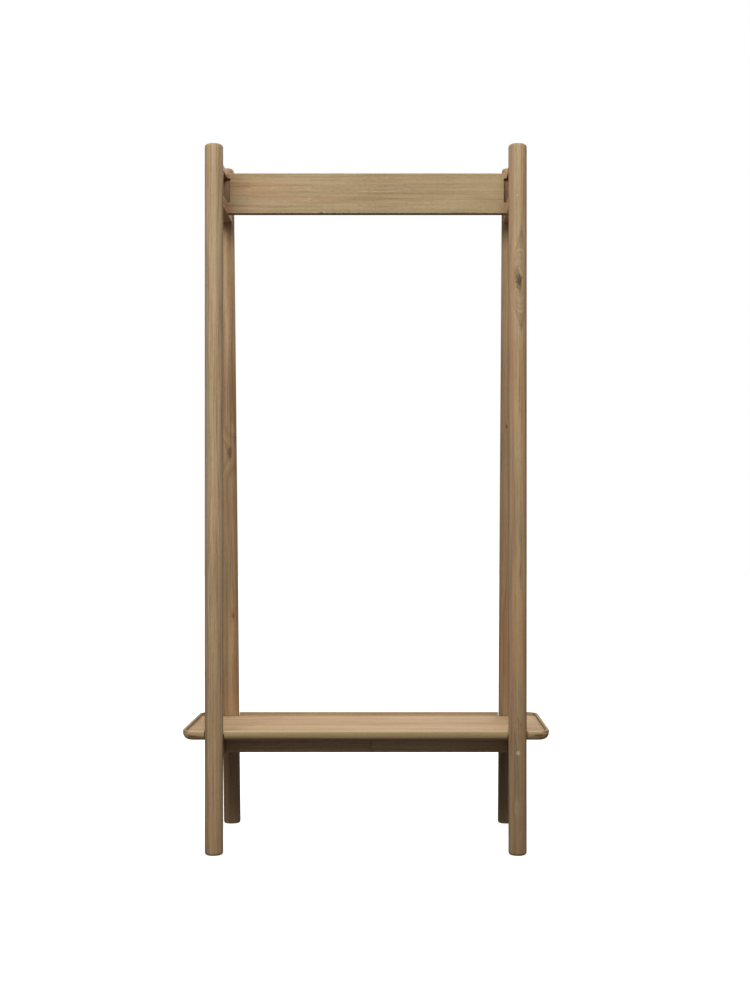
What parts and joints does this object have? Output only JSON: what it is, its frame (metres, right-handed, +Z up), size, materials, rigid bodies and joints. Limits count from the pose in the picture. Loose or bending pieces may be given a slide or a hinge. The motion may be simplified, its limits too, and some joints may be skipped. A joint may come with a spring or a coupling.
{
  "type": "clothes rack",
  "caption": "Freestanding wooden clothes rack: upright front legs, leaning rear legs, a hanging board across the top and a dished tray low down.",
  "frame": {"origin": "centre of the footprint, on the floor", "axes": "+X across the width, +Z up, the open front with the upright legs faces -Y"},
  "size_m": [0.905, 0.4534, 1.742],
  "materials": {
    "wood_legs": "clear satin lacquer",
    "wood_boards": "clear satin lacquer",
    "wood_tray": "clear satin lacquer",
    "wood_rails": "clear satin lacquer",
    "wood_plugs": "clear satin lacquer",
    "wood_dowels": "raw",
    "steel": "zinc plated"
  },
  "bodies": {
    "root": {"front_leg_left": "wood_legs", "front_leg_right": "wood_legs", "rear_leg_left": "wood_legs", "rear_leg_right": "wood_legs", "upper_side_board_left": "wood_boards", "upper_side_board_right": "wood_boards", "hanging_board": "wood_boards", "lower_side_rail_left": "wood_rails", "lower_side_rail_right": "wood_rails", "front_stretcher_left": "wood_rails", "front_stretcher_right": "wood_rails", "rear_stretcher": "wood_rails", "tray": "wood_tray", "leg_plugs": "wood_plugs", "side_plugs": "wood_plugs", "frame_dowels": "wood_dowels", "stretcher_dowels": "wood_dowels", "frame_bolts": "steel", "hanging_screws": "steel", "tray_screws": "steel"}
  },
  "joints": []
}
